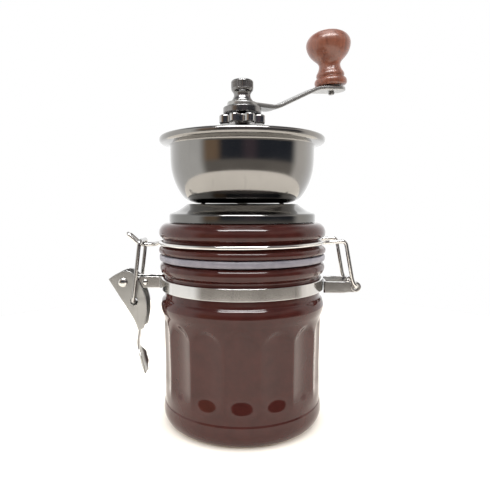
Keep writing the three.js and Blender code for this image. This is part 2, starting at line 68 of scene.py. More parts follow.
MM = 0.001
TURN = 2 * math.pi
UP = Vector((0, 0, 1))
ALONG_Y = Vector((0, 1, 0))

# ---------- where things are, from the frame ----------

JOINTS = {joint["name"]: joint for joint in frame["joints"]}


def joint_place(name):
    """A joint's point, in millimetres at rest."""
    return Vector(JOINTS[name]["pos_m"]) / MM


def low(node):
    """A CAD node's lowest corner, in millimetres at rest."""
    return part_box(node)[0] / MM


def high(node):
    """Its highest corner."""
    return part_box(node)[1] / MM


def middle(node):
    """The middle of its box."""
    return (low(node) + high(node)) / 2


HINGE = joint_place("lid_hinge")
PIVOT = joint_place("latch_lever_swing")
WIRE_HOLE = joint_place("latch_wire_swing")
WIRE_RADIUS = 1.1
BAND_HEIGHT = high("neck_band").z - low("neck_band").z
ARM_ANGLE = math.atan2(middle("knob").y, middle("knob").x)

# ---------- the jar's flutes ----------

FLUTES = 15
FLUTE_DEPTH = 1.9
FLUTE_HALF_ANGLE = math.pi / FLUTES
FLUTE_BOTTOM, FLUTE_TOP = 16.0, 61.5
FLUTE_RISE = 10.0  # height over which a flute runs out at its foot
FLUTE_FALL = 5.0  # and at its top
ARCH_DROP = 6.0  # how much lower the arch is at the flute's edge
FLUTED_WALL = 43.0  # only points outside this radius are cut

# ---------- shape tools ----------


def rounded(points, reach=None, steps=5, closed=False):
    """The line through the points with each corner turned into a smooth curve.
    A corner is cut back by at most its own reach, or by half the way to its neighbours."""
    places = [Vector(p[0]) for p in points]
    reaches = [p[1] if p[1] is not None else reach for p in points]
    count = len(places)
    line = [] if closed else [places[0]]
    for i in range(0 if closed else 1, count if closed else count - 1):
        corner = places[i]
        cuts = []
        for other in (places[i - 1], places[(i + 1) % count]):
            way = other - corner
            cut = way.length / 2 if reaches[i] is None else min(reaches[i], way.length / 2)
            cuts.append(corner + way.normalized() * cut)
        for k in range(steps + 1):
            t = k / steps
            line.append(cuts[0] * (1 - t) ** 2 + corner * (2 * t * (1 - t)) + cuts[1] * t * t)
    if not closed:
        line.append(places[-1])
    kept = [line[0]]
    for place in line[1:]:
        if (place - kept[-1]).length > 1e-4:
            kept.append(place)
    if closed and (kept[-1] - kept[0]).length <= 1e-4:
        kept.pop()
    return kept


def corners(points):
    """Profile or outline points as (place, reach) pairs."""
    return [(Vector(p[:2]), p[2] if len(p) > 2 else None) for p in points]


def spaced(line, step):
    """The same line with points added, so that none are further apart than step."""
    out = [line[0]]
    for a, b in zip(line, line[1:]):
        count = max(1, math.ceil((b - a).length / step))
        out += [a.lerp(b, k / count) for k in range(1, count + 1)]
    return out


def new_piece(name, vertices, faces, merge=0.0):
    """A smooth mesh object from millimetre points, with its faces turned outward."""
    mesh = bpy.data.meshes.new(name)
    mesh.from_pydata([Vector(v) * MM for v in vertices], [], faces)
    shape = bmesh.new()
    shape.from_mesh(mesh)
    if merge:
        bmesh.ops.remove_doubles(shape, verts=shape.verts, dist=merge)
    bmesh.ops.recalc_face_normals(shape, faces=shape.faces)
    shape.to_mesh(mesh)
    shape.free()
    mesh.polygons.foreach_set("use_smooth", [True] * len(mesh.polygons))
    obj = bpy.data.objects.new(name, mesh)
    bpy.context.scene.collection.objects.link(obj)
    return obj


def joined(name, pieces):
    """Several meshes as one piece."""
    shape = bmesh.new()
    for piece in pieces:
        shape.from_mesh(piece.data)
        bpy.data.objects.remove(piece)
    mesh = bpy.data.meshes.new(name)
    shape.to_mesh(mesh)
    shape.free()
    obj = bpy.data.objects.new(name, mesh)
    bpy.context.scene.collection.objects.link(obj)
    return obj


def even_shading(obj):
    """Keeps broad faces flat-looking beside small rounded edges."""
    obj.modifiers.new("even_shading", "WEIGHTED_NORMAL").keep_sharp = True
    return obj


def turned(name, profile, base=0.0, segments=160, closed=True, change=None, step=None):
    """A profile turned about Z. change(radius, height, angle) may give a point another radius and height."""
    line = rounded(corners(profile), closed=closed)
    if step:
        line = spaced([*line, line[0]] if closed else line, step)
        line = line[:-1] if closed else line
    vertices, rows = [], []
    for r, z in line:
        if r < 1e-4:
            rows.append([len(vertices)] * segments)
            vertices.append((0, 0, base + z))
            continue
        rows.append(list(range(len(vertices), len(vertices) + segments)))
        for k in range(segments):
            angle = k / segments * TURN
            radius, height = change(r, z, angle) if change else (r, z)
            vertices.append((radius * math.sin(angle), -radius * math.cos(angle), base + height))
    faces = []
    for a, b in zip(rows, [*rows[1:], rows[0]] if closed else rows[1:]):
        for k in range(segments):
            quad = [a[k], a[(k + 1) % segments], b[(k + 1) % segments], b[k]]
            face = list(dict.fromkeys(quad))
            if len(face) > 2:
                faces.append(face)
    return new_piece(name, vertices, faces)


def along_y(obj, place):
    """Turns a piece built about Z so that its axis lies along Y through a millimetre place."""
    obj.data.transform(Matrix.Translation(Vector(place) * MM) @ Matrix.Rotation(-math.pi / 2, 4, "X"))
    return obj


def swept(name, line, section_at):
    """A closed section carried along a line. section_at(i, share) gives offsets in the plane across it,
    as (sideways, upward) pairs, where upward is as near to the start's own up as the line allows."""
    ways = [(line[min(i + 1, len(line) - 1)] - line[max(i - 1, 0)]).normalized() for i in range(len(line))]
    side = ways[0].cross(UP if abs(ways[0].z) < 0.9 else ALONG_Y).normalized()
    vertices, rows = [], []
    for i, (place, way) in enumerate(zip(line, ways)):
        side = (side - way * side.dot(way)).normalized()
        upward = side.cross(way)
        section = section_at(i, i / (len(line) - 1))
        rows.append(list(range(len(vertices), len(vertices) + len(section))))
        vertices += [place + side * a + upward * b for a, b in section]
    faces = []
    for a, b in zip(rows, rows[1:]):
        count = len(a)
        faces += [[a[k], a[(k + 1) % count], b[(k + 1) % count], b[k]] for k in range(count)]
    faces += [rows[0][::-1], rows[-1]]
    return new_piece(name, vertices, faces)


def wire(name, points, bend, steps=8):
    """Round wire along straight stretches with bent corners and rounded-off ends."""
    sides = 20
    line = spaced(rounded([(Vector(p), None) for p in points], reach=bend, steps=steps), 3.0)
    first, last = (line[1] - line[0]).normalized(), (line[-1] - line[-2]).normalized()
    start = [line[0] + first * WIRE_RADIUS * back for back in (0.02, 0.13, 0.5)]
    finish = [line[-1] - last * WIRE_RADIUS * back for back in (0.5, 0.13, 0.0)]
    whole = [*start, *line[1:-1], *finish]
    dome = [0.55, 0.85, 1.0]
    sizes = [*dome, *[1.0] * (len(line) - 2), *reversed(dome)]

    def section(i, _):
        size = WIRE_RADIUS * sizes[i]
        return [(size * math.cos(k / sides * TURN), size * math.sin(k / sides * TURN)) for k in range(sides)]

    return swept(name, whole, section)


def sheet_section(thickness, bottom, top, edge):
    """A rectangle with rounded corners: thickness sideways, from bottom to top upward."""
    steps = 3
    half = thickness / 2
    edge = min(edge, half * 0.95, max((top - bottom) / 2 * 0.95, 1e-3))
    out = []
    for turn, (x, y) in enumerate([(half, top), (-half, top), (-half, bottom), (half, bottom)]):
        cx, cy = x - math.copysign(edge, x), y - edge if turn < 2 else y + edge
        for k in range(steps + 1):
            angle = (turn + k / steps) * math.pi / 2
            out.append((cx + edge * math.cos(angle), cy + edge * math.sin(angle)))
    return out


def strap(name, line, thickness, extent, edge):
    """Flat strip along a line in a level plane; extent(point, share) gives its lowest and highest height."""
    return swept(name, line, lambda i, share: sheet_section(thickness, *extent(line[i], share), edge))


def plate(name, outline, thickness, place, bevel, holes, reach):
    """Flat sheet cut to a rounded outline. place(x, y, depth) puts a point of it into the frame;
    holes are (x, y, radius)."""
    hole_steps = 28
    edge = rounded(corners(outline), reach=reach, steps=6, closed=True)
    loops = [edge]
    for x, y, radius in holes:
        turn = [k / hole_steps * TURN for k in range(hole_steps)]
        loops.append([Vector((x + radius * math.cos(a), y + radius * math.sin(a))) for a in turn])
    curve = bpy.data.curves.new(name, "CURVE")
    curve.dimensions = "2D"
    curve.fill_mode = "BOTH"
    curve.extrude = thickness / 2 - bevel
    curve.bevel_depth = bevel
    curve.bevel_resolution = 2
    curve.offset = -bevel
    for loop in loops:
        spline = curve.splines.new("POLY")
        spline.points.add(len(loop) - 1)
        for point, at in zip(spline.points, loop):
            point.co = (at.x, at.y, 0, 1)
        spline.use_cyclic_u = True
    shape = bpy.data.objects.new(name, curve)
    bpy.context.scene.collection.objects.link(shape)
    mesh = bpy.data.meshes.new_from_object(shape)
    bpy.data.objects.remove(shape)
    vertices = [place(*v.co) for v in mesh.vertices]
    faces = [list(p.vertices) for p in mesh.polygons]
    return new_piece(name, vertices, faces, 1e-6)


def soft_step(value, start, end):
    """0 before start, 1 after end, smooth between."""
    t = min(1.0, max(0.0, (value - start) / (end - start)))
    return t * t * (3 - 2 * t)


# ---------- material tools ----------


class Finish:
    """A Principled material with short ways to add texture nodes."""

    def __init__(self, name, colour, roughness, **sockets):
        self.material = bpy.data.materials.new(name)
        self.material.use_nodes = True
        self.tree = self.material.node_tree
        self.shader = self.tree.nodes["Principled BSDF"]
        self.set(self.shader, {"Base Color": (*colour, 1), "Roughness": roughness})
        self.set(self.shader, {key.replace("_", " "): value for key, value in sockets.items()})
        self.coordinates = self.node("ShaderNodeTexCoord").outputs["Object"]

    def node(self, kind, sockets=None, **settings):
        """A new node with its settings and its input values or links."""
        node = self.tree.nodes.new(kind)
        for key, value in settings.items():
            setattr(node, key, value)
        self.set(node, sockets or {})
        return node

    def set(self, node, sockets):
        """Fills inputs by name, with a number or with another node's output."""
        for key, value in sockets.items():
            if isinstance(value, bpy.types.NodeSocket):
                self.tree.links.new(value, node.inputs[key])
            else:
                node.inputs[key].default_value = value

    def noise(self, scale, detail=3.0, stretch=(1, 1, 1), rough=0.5, distortion=0.0):
        """Noise with the given features per metre, drawn out along an axis where stretch is small."""
        mapping = self.node("ShaderNodeMapping", {"Vector": self.coordinates, "Scale": stretch})
        sockets = {
            "Vector": mapping.outputs["Vector"], "Scale": scale, "Detail": detail, "Roughness": rough,
            "Distortion": distortion,
        }
        return self.node("ShaderNodeTexNoise", sockets).outputs["Fac"]

    def spread(self, value, low_out, high_out, low_in=0.3, high_in=0.7):
        """The value stretched from one range to another; noise lies mostly between 0.3 and 0.7."""
        sockets = {
            "Value": value, "From Min": low_in, "From Max": high_in, "To Min": low_out, "To Max": high_out,
        }
        return self.node("ShaderNodeMapRange", sockets, clamp=True).outputs["Result"]

    def mix(self, share, first, second):
        """One colour blended into another; each is a colour or a node's output."""
        node = self.node("ShaderNodeMix", data_type="RGBA")
        for socket, value in zip([node.inputs[0], node.inputs[6], node.inputs[7]], [share, first, second]):
            if isinstance(value, bpy.types.NodeSocket):
                self.tree.links.new(value, socket)
            else:
                socket.default_value = value if isinstance(value, float) else (*value, 1)
        return node.outputs[2]

    def sum(self, first, second, operation="ADD"):
        return self.node("ShaderNodeMath", {0: first, 1: second}, operation=operation).outputs[0]

    def bump(self, height, distance):
        sockets = {"Height": height, "Distance": distance, "Strength": 1.0}
        self.set(self.shader, {"Normal": self.node("ShaderNodeBump", sockets).outputs["Normal"]})

    def colour(self, value):
        self.set(self.shader, {"Base Color": value})

    def roughness(self, value):
        self.set(self.shader, {"Roughness": value})


def glaze():
    """Dark red-brown ceramic glaze, mottled and a little uneven, with a painted highlight: lighter and redder
    on the crests.
    """
    f = Finish("dark_glaze", (0.035, 0.009, 0.0075), 0.08, IOR=1.40)
    # painted highlight: the convex crests of the flutes and rings get a lighter, redder colour, as if the
    # ridges caught the light
    painted_crest_highlight = f.spread(f.node("ShaderNodeNewGeometry").outputs["Pointiness"], 0.0, 1.0, 0.51, 0.56)
    mottle = f.spread(f.noise(140, 4), 0.0, 1.0)
    ground = f.mix(mottle, (0.032, 0.0078, 0.0062), (0.044, 0.0108, 0.0086))
    speck = f.spread(f.noise(1500, 2, rough=0.7), 0.0, 0.6, 0.66, 0.74)
    specked = f.mix(speck, ground, (0.020, 0.005, 0.004))
    f.colour(f.mix(f.sum(painted_crest_highlight, 0.35, "MULTIPLY"), specked, (0.070, 0.019, 0.014)))
    f.roughness(f.spread(f.noise(60, 3), 0.06, 0.12))
    f.bump(f.sum(f.noise(55, 2), f.sum(f.noise(700, 2), 0.03, "MULTIPLY")), 0.0002)
    return f.material


def bare_foot():
    """Unglazed stoneware under the jar's foot."""
    f = Finish("bare_stoneware", (0.42, 0.33, 0.25), 0.8)
    f.colour(f.mix(f.spread(f.noise(500, 5), 0.0, 1.0), (0.36, 0.27, 0.20), (0.50, 0.41, 0.33)))
    f.roughness(f.spread(f.noise(900, 3), 0.7, 0.92))
    f.bump(f.noise(1800, 4, rough=0.65), 0.0002)
    return f.material


def steel(name, bright, roughness, stretch, tint=(1.0, 0.985, 0.96), grain=900, scratch=0.00001):
    """Steel with a drawn-out grain, cloudy smears and a few scratches."""
    levels = (1.0, 0.90, 1.06, 0.8)
    base, duller, shinier, scratched = ([bright * level * c for c in tint] for level in levels)
    f = Finish(name, base, roughness, Metallic=1.0)
    lines = f.noise(grain, 3, stretch, 0.6)
    cloud = f.noise(38, 4)
    shade = f.mix(f.spread(cloud, 0.0, 1.0), duller, shinier)
    mark = f.spread(f.noise(260, 2, (1, 1, 0.08), 0.4, 0.6), 0.0, 0.35, 0.63, 0.70)
    f.colour(f.mix(mark, shade, scratched))
    rough = f.spread(lines, roughness * 0.75, roughness * 1.3)
    smear = f.spread(cloud, -0.02, 0.05)
    f.roughness(f.sum(rough, smear))
    f.bump(lines, scratch)
    return f.material


def silicone():
    """Milky seal, slightly lilac, with a soft waxy surface."""
    f = Finish("milky_silicone", (0.20, 0.19, 0.215), 0.36, IOR=1.41, Subsurface_Weight=0.3)
    f.set(f.shader, {"Subsurface Scale": 0.0025, "Subsurface Radius": (1.0, 0.9, 0.95)})
    f.colour(f.mix(f.spread(f.noise(220, 3), 0.0, 1.0), (0.17, 0.163, 0.19), (0.23, 0.22, 0.245)))
    f.roughness(f.spread(f.noise(700, 3), 0.28, 0.44))
    f.bump(f.noise(2600, 2), 0.00003)
    return f.material


def wood():
    """Reddish turned hardwood under varnish: long grain, dark pores, a few darker streaks."""
    f = Finish("varnished_wood", (0.30, 0.12, 0.07), 0.32, Coat_Weight=0.35, Coat_Roughness=0.2)
    f.set(f.shader, {"Coat IOR": 1.45})
    grain = f.noise(330, 6, (1, 1, 0.09), 0.62, 0.9)
    streak = f.noise(110, 3, (1, 1, 0.16), 0.5, 1.2)
    pores = f.spread(f.noise(2600, 2, (1, 1, 0.05), 0.5), 0.0, 0.55, 0.60, 0.70)
    light = f.mix(f.spread(grain, 0.0, 1.0), (0.150, 0.046, 0.026), (0.245, 0.083, 0.046))
    deep = f.mix(f.spread(streak, 0.0, 0.75, 0.50, 0.72), light, (0.095, 0.030, 0.018))
    f.colour(f.mix(pores, deep, (0.060, 0.022, 0.014)))
    f.roughness(f.spread(grain, 0.26, 0.42))
    f.bump(f.sum(grain, f.sum(pores, 0.6, "MULTIPLY"), "SUBTRACT"), 0.00006)
    return f.material


def mould_plastic():
    """Black glass-filled plastic with a fine spark-eroded texture."""
    f = Finish("black_plastic", (0.022, 0.022, 0.024), 0.5)
    f.colour(f.mix(f.spread(f.noise(420, 4), 0.0, 1.0), (0.017, 0.017, 0.019), (0.034, 0.034, 0.037)))
    f.roughness(f.spread(f.noise(900, 3), 0.40, 0.60))
    f.bump(f.noise(3200, 2), 0.00006)
    return f.material


def burr_stone():
    """Fired burr ceramic: off-white, chalky, faintly stained by coffee."""
    f = Finish("burr_ceramic", (0.78, 0.76, 0.70), 0.55)
    stain = f.spread(f.noise(240, 5), 0.0, 0.6, 0.52, 0.72)
    f.colour(f.mix(stain, (0.80, 0.78, 0.73), (0.46, 0.36, 0.26)))
    f.roughness(f.spread(f.noise(1200, 3), 0.45, 0.7))
    f.bump(f.noise(2600, 3), 0.00008)
    return f.material


MATERIALS = {
    "glaze": glaze(),
    "polished_steel": steel("polished_steel", 0.62, 0.11, (1, 1, 6), scratch=0.000004),
    "plated_steel": steel("plated_steel", 0.42, 0.13, (1, 1, 4), (1.0, 0.99, 0.98), 900, 0.000005),
    "bowl_steel": steel("spun_steel", 0.25, 0.10, (0.4, 0.4, 14), (1.0, 0.975, 0.94), 700, 0.000003),
    # painted shade: the cone's steel is made darker, standing in for the dim underside of the bowl that it
    # mirrors
    "cone_shaded_steel": steel("cone_steel_painted_shade", 0.17, 0.12, (0.4, 0.4, 14), (1.0, 0.985, 0.96), 700, 0.000003),
    "satin_steel": steel("satin_steel", 0.41, 0.36, (6, 1, 1), (1.0, 1.0, 0.98), 1300, 0.000012),
    "dark_steel": steel("dark_steel", 0.24, 0.22, (1, 1, 5), (1.0, 0.98, 0.97), 1100, 0.000008),
    "silicone": silicone(),
    "wood": wood(),
    "burr_ceramic": burr_stone(),
    "housing_plastic": mould_plastic(),
    "bush_brass": steel("bush_brass", 0.72, 0.26, (1, 1, 4), (1.0, 0.76, 0.42), 900, 0.00001),
}


def finished(obj, slot, node, material=None):
    """Gives a new piece its material and its body, and hides the CAD node that it stands for."""
    obj.data.materials.clear()
    obj.data.materials.append(MATERIALS[material or slot])
    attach(obj, frame["nodes"][node]["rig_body"])
    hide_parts(node)
    return obj


# ---------- jar ----------


def fluted(r, z, angle):
    """Cuts the concave flutes into the jar's outer wall; each runs out in an oval scoop at its foot."""
    if r < FLUTED_WALL:
        return r, z
    offset = (angle + FLUTE_HALF_ANGLE) % (2 * FLUTE_HALF_ANGLE) - FLUTE_HALF_ANGLE
    across = abs(offset) / FLUTE_HALF_ANGLE
    arch_top = FLUTE_TOP - ARCH_DROP * across ** 2
    above_foot = soft_step(z, FLUTE_BOTTOM, FLUTE_BOTTOM + FLUTE_RISE)
    span = above_foot * (1 - soft_step(z, arch_top - FLUTE_FALL, arch_top))
    return r - FLUTE_DEPTH * max(0.0, 1 - across * across) ** 1.25 * span, z


def make_jar():
    """The glazed jar with its flutes, and bare stoneware on the ring that it stands on."""
    profile = [
        [0, 1.4, 1], [33.5, 1.4, 1], [35.5, 0, 1], [40, 0], [43.4, 1.5], [45.1, 4.2], [45.7, 7.5],
        [45.1, 12, 0.4], [44.7, 12.6, 0.4], [44.7, 17], [44.7, 20], [44.6, 25], [44.5, 34], [44.8, 46],
        [44.9, 54], [45.0, 58.5], [45.3, 61.5], [46.4, 64.2], [46.9, 67.4], [46.0, 70.4],
        [44.4, 72, 0.8], [44.4, 84.4, 0.8],
        [46.2, 85.6], [47.1, 87.8], [46.8, 90], [45.2, 91.4], [42.2, 91.7], [39.6, 91.2], [38.5, 89.6],
        [38.5, 84], [39.6, 78, 2], [39.6, 8.4, 1.5], [37.6, 6, 1.5], [0, 6],
    ]
    obj = turned("jar_glazed", profile, low("jar").z, FLUTES * 28, False, fluted, 0.75)
    finished(obj, "glaze", "jar")
    obj.data.materials.append(bare_foot())
    foot_top, foot_radius = (low("jar").z + 1.0) * MM, 41.6 * MM
    for face in obj.data.polygons:
        on_foot = face.center.z < foot_top and face.center.xy.length < foot_radius
        face.material_index = 1 if on_foot and face.normal.z < -0.3 else 0


# ---------- band, latch ----------

BAND_THICKNESS = 1.15
BAND_MIDDLE_RADIUS = 45.65
ARM_Y = 4.3  # middle of the band's turned-out ends


def make_band():
    """One strip: in along the first arm, round the neck and out along the second."""
    turn_in = math.asin(ARM_Y / BAND_MIDDLE_RADIUS)
    round_neck = []
    count = 180
    for k in range(count + 1):
        angle = math.pi + turn_in + 0.05 + (TURN - 2 * turn_in - 0.1) * k / count
        spot = Vector((math.cos(angle), math.sin(angle), 0)) * BAND_MIDDLE_RADIUS
        round_neck.append((spot, None))
    root = -BAND_MIDDLE_RADIUS * math.cos(turn_in)
    tip = PIVOT.x - BAND_HEIGHT / 2
    arm_out = [(Vector((tip, -ARM_Y, 0)), None), (Vector((root - 1.2, -ARM_Y, 0)), 1.2)]
    arm_back = [(Vector((root - 1.2, ARM_Y, 0)), 1.2), (Vector((tip, ARM_Y, 0)), None)]
    line = rounded([*arm_out, *round_neck, *arm_back], steps=4)
    shift = Vector((0, 0, middle("neck_band").z))
    shares = (0.002, 0.01, 0.025, 0.05, 0.08, 0.11, 0.14)  # extra points where the arms' ends are round
    first_end = [line[0].lerp(line[1], t) for t in shares]
    last_end = [line[-1].lerp(line[-2], t) for t in reversed(shares)]
    line = [p + shift for p in [*first_end, *line[1:-1], *last_end]]
    half = BAND_HEIGHT / 2

    def extent(place, _):
        into = place.x - tip
        tall = half if into > half else math.sqrt(max(half ** 2 - (half - into) ** 2, 0.01))
        return -tall, tall

    strip = even_shading(strap("band_strip", line, BAND_THICKNESS, extent, 0.3))
    finished(strip, "polished_steel", "neck_band")


def make_rivet(name, node, shank, head, plate_y):
    """A rivet with a domed head on each side; its axis lies along Y."""
    reach = high(node).y
    dome = [
        [0, reach], [head * 0.55, reach - 0.08], [head * 0.92, plate_y + 0.45], [head, plate_y + 0.15],
        [head, plate_y],
    ]
    half = [*dome, [shank, plate_y, 0.1]]
    mirrored = [[r, -y, *rest] for r, y, *rest in reversed(half)]
    obj = turned(name, [*half, *mirrored], 0, 48, False)
    finished(even_shading(along_y(obj, (middle(node).x, 0, middle(node).z))), "polished_steel", node)


CHEEK_Y = 5.7
CHEEK_THICKNESS = 1.0
CHEEK = [
    [-76, 81, 0.5], [-71.4, 84.2], [-66.6, 86], [-63, 85.4], [-60.3, 82.4], [-58.4, 79.1], [-57, 76],
    [-54.8, 69], [-54.6, 61.5], [-56.3, 52.6, 1.2], [-59.4, 51.4, 1.2], [-61.4, 57.6],
]
PIVOT_HOLE, FOOT_HOLE = 1.75, 2.1


def make_lever():
    """Two pressed cheeks joined by a folded back, a narrow neck and a hollow finger tab."""
    holes = [(PIVOT.x, PIVOT.z, PIVOT_HOLE), (WIRE_HOLE.x, WIRE_HOLE.z, FOOT_HOLE)]
    parts = []
    for side in (-1, 1):
        def place(x, z, depth, side=side):
            flare = 0.35 * soft_step(x, -58, -54.5)  # the free edge is pressed out a little
            return (x, side * (CHEEK_Y - flare) + depth, z)
        parts.append(plate(f"cheek_{side}", CHEEK, CHEEK_THICKNESS, place, 0.22, holes, 2.5))
    spine = [([-75.3, 0, 80.7], None), ([-61.2, 0, 57.6], 5), ([-59.3, 0, 51.8], None)]
    neck = [([-59.6, 0, 53.6], None), ([-60.2, 0, 48], 3), ([-61.1, 0, 42.6], 3), ([-59.9, 0, 36], 6),
            ([-58.7, 0, 30.6], 4), ([-56.7, 0, 25.2], None)]
    parts.append(folded("spine", spaced(rounded(spine, steps=6), 1.2), 1.0, lambda s: 6.1, lambda s: 0.0))

    def neck_width(share):
        narrow, wide = 2.6, 6.2
        body = narrow + (wide - narrow) * soft_step(share, 0.46, 0.66)
        tip = 1 - 0.35 * soft_step(share, 0.86, 1.0)
        return body * tip

    def hollow(share):
        return 1.7 * soft_step(share, 0.46, 0.66) * (1 - 0.8 * soft_step(share, 0.85, 1.0))

    parts.append(folded("tab", spaced(rounded(neck, steps=6), 0.8), 0.9, neck_width, hollow))
    finished(even_shading(joined("lever_pressing", parts)), "satin_steel", "latch_lever")


def folded(name, line, thickness, half_width, hollow, across=17):
    """Sheet along a line in the XZ plane, as wide as half_width says, its edges raised by hollow(share)."""
    ways = [(line[min(i + 1, len(line) - 1)] - line[max(i - 1, 0)]).normalized() for i in range(len(line))]
    vertices, rows = [], []
    for i, (place, way) in enumerate(zip(line, ways)):
        share = i / (len(line) - 1)
        face = Vector((-way.z, 0, way.x))
        wide, deep = half_width(share), hollow(share)
        row = []
        for skin, order in ((1, range(across)), (-1, range(across - 1, -1, -1))):
            for k in order:
                t = 2 * k / (across - 1) - 1
                rim = 0.72 if abs(t) > 0.999 else 1.0
                dish = deep * abs(t) ** 3
                row.append(place + ALONG_Y * wide * t + face * (dish + skin * rim * thickness / 2))
        rows.append(list(range(len(vertices), len(vertices) + len(row))))
        vertices += row
    faces = []
    for a, b in zip(rows, rows[1:]):
        count = len(a)
        faces += [[a[k], a[(k + 1) % count], b[(k + 1) % count], b[k]] for k in range(count)]
    for row in (rows[0], rows[-1]):
        faces += [[row[k], row[k + 1], row[-2 - k], row[-1 - k]] for k in range(across - 1)]
    return new_piece(name, vertices, faces)


LATCH_WIRE_Y = 8.9


def make_latch_wire():
    """An upside-down U whose feet turn in through the lever's holes."""
    bridge_x = high("latch_wire").x - WIRE_RADIUS
    bridge_z = high("latch_wire").z - WIRE_RADIUS
    x, z, y, inner = WIRE_HOLE.x, WIRE_HOLE.z, LATCH_WIRE_Y, 4.4
    half = [(x, -inner, z), (x, -y, z), (bridge_x, -y, bridge_z)]
    points = [*half, *[(px, -py, pz) for px, py, pz in reversed(half)]]
    finished(wire("latch_loop", points, 3), "polished_steel", "latch_wire", material="plated_steel")


# ---------- hinge ----------

KNUCKLE_RADIUS = 2.9
KNUCKLE_NEAR, KNUCKLE_FAR = 9.0, 12.0
BRACKET_THICKNESS = 1.1
BRACKET_INNER_RADIUS = 46.6


def make_bracket():
    """A strip bent round the band on the hinge side; its two ends carry the knuckles for the bail wire."""
    bottom, top = low("hinge_bracket").z, high("hinge_bracket").z
    side_y = high("hinge_bracket").y - 0.2 - BRACKET_THICKNESS / 2
    radius = BRACKET_INNER_RADIUS + BRACKET_THICKNESS / 2
    wrap = math.asin(side_y / radius) - 0.02
    count = 16
    bend = [(Vector((radius * math.cos(a), radius * math.sin(a), 0)), 0.8)
            for a in (-wrap + 2 * wrap * k / count for k in range(count + 1))]
    end = HINGE.x - 0.9
    line = rounded([(Vector((end, -side_y, 0)), None), *bend, (Vector((end, side_y, 0)), None)], steps=4)
    line = [p + Vector((0, 0, (bottom + top) / 2)) for p in spaced(line, 2.0)]
    half = (top - bottom) / 2
    knuckle_rise = HINGE.z - (bottom + top) / 2

    def extent(place, _):
        near = soft_step(place.x, HINGE.x - 7.5, HINGE.x - 3.0)
        return -half + 0.5 * near, half + (knuckle_rise - half + KNUCKLE_RADIUS - 0.3) * near

    parts = [strap("bracket_strip", line, BRACKET_THICKNESS, extent, 0.3)]
    bore, rim = 1.4, KNUCKLE_RADIUS
    for side in (-1, 1):
        near, far = sorted((side * KNUCKLE_NEAR, side * KNUCKLE_FAR))
        ring = [[bore, near, 0.2], [rim, near, 0.35], [rim, far, 0.35], [bore, far, 0.2]]
        knuckle = turned(f"knuckle_{side}", ring, 0, 48, True)
        parts.append(along_y(knuckle, HINGE))
    strip = even_shading(joined("hinge_strip", parts))
    finished(strip, "satin_steel", "hinge_bracket", material="plated_steel")


BAIL_LEG_Y = 13.5
GROOVE_RADIUS = 46.3


def make_bail():
    """One wire: hinge, leg, round the lid's groove, hairpin tongue, and back the same way."""
    wire_end, groove_height, groove_drop = 8.8, 102.6, 0.9
    hinge_end = [(HINGE.x, -wire_end, HINGE.z), (HINGE.x, -BAIL_LEG_Y, HINGE.z)]
    leg = [(61, -BAIL_LEG_Y, 80.6), (56.8, -BAIL_LEG_Y, 103.2), (47.6, -BAIL_LEG_Y, groove_height)]
    groove = []
    first, last, count = -19, -173, 28
    for k in range(count + 1):
        share = k / count
        angle = math.radians(first + (last - first) * share)
        height = groove_height - groove_drop * share
        groove.append((GROOVE_RADIUS * math.cos(angle), GROOVE_RADIUS * math.sin(angle), height))
    tongue = [(-50, -2.6, 100.6), (-58.6, -2.4, 100.3), (-65.6, -2.4, 106.8)]
    half = [*hinge_end, *leg, *groove, *tongue]
    back = [(x, -y, z) for x, y, z in reversed(half)]
    finished(wire("bail_loop", [*half, *back], 2.4, steps=6), "polished_steel", "bail_wire")


# ---------- lid and hopper ----------


def make_lid():
    """The glazed ring with its groove for the bail wire, and the silicone seal under it."""
    profile = [
        [18.3, 0, 0.6], [36.5, 0, 0.8], [37.5, 1, 0.8], [37.5, 5.3, 0.4], [46.0, 5.3], [47.2, 6.0],
        [47.6, 7.4], [47.2, 8.8], [45.7, 9.6], [44.9, 10.5], [44.9, 13.4], [45.8, 14.1], [47, 15.2],
        [47.4, 17.3],
        [46.7, 19.9], [44.9, 21.8], [42.6, 22.7, 1.4], [18.3, 22.7, 0.8],
    ]
    finished(turned("lid_glazed", profile, low("lid_ring").z, 240, step=1.5), "glaze", "lid_ring")
    seal = [
        [37.9, 0, 0.3], [46.4, 0, 0.4], [46.9, 0.5, 0.4], [47.1, 1.8], [46.9, 3.0, 0.4], [46.4, 3.5, 0.4],
        [37.9, 3.5, 0.3],
    ]
    finished(turned("silicone_seal", seal, low("gasket").z, 200), "silicone", "gasket")


def make_cone():
    """The pressed cover between lid and bowl."""
    profile = [
        [41.4, 0, 0.15], [41.4, 3.7, 0.5], [40.9, 4.5, 0.5], [37.2, 5.7], [34, 7.8], [31.3, 9.9, 0.5],
        [20, 9.9, 0.3], [20, 9.1, 0.3], [31, 9.1, 0.4], [33.6, 7.1], [36.9, 4.9], [40.5, 3.6, 0.4],
        [40.6, 0, 0.15],
    ]
    cone = turned("cone_pressing", profile, low("cone_cover").z, 240)
    # the cone gets the darkened steel, which is painted shade
    finished(cone, "polished_steel", "cone_cover", material="cone_shaded_steel")


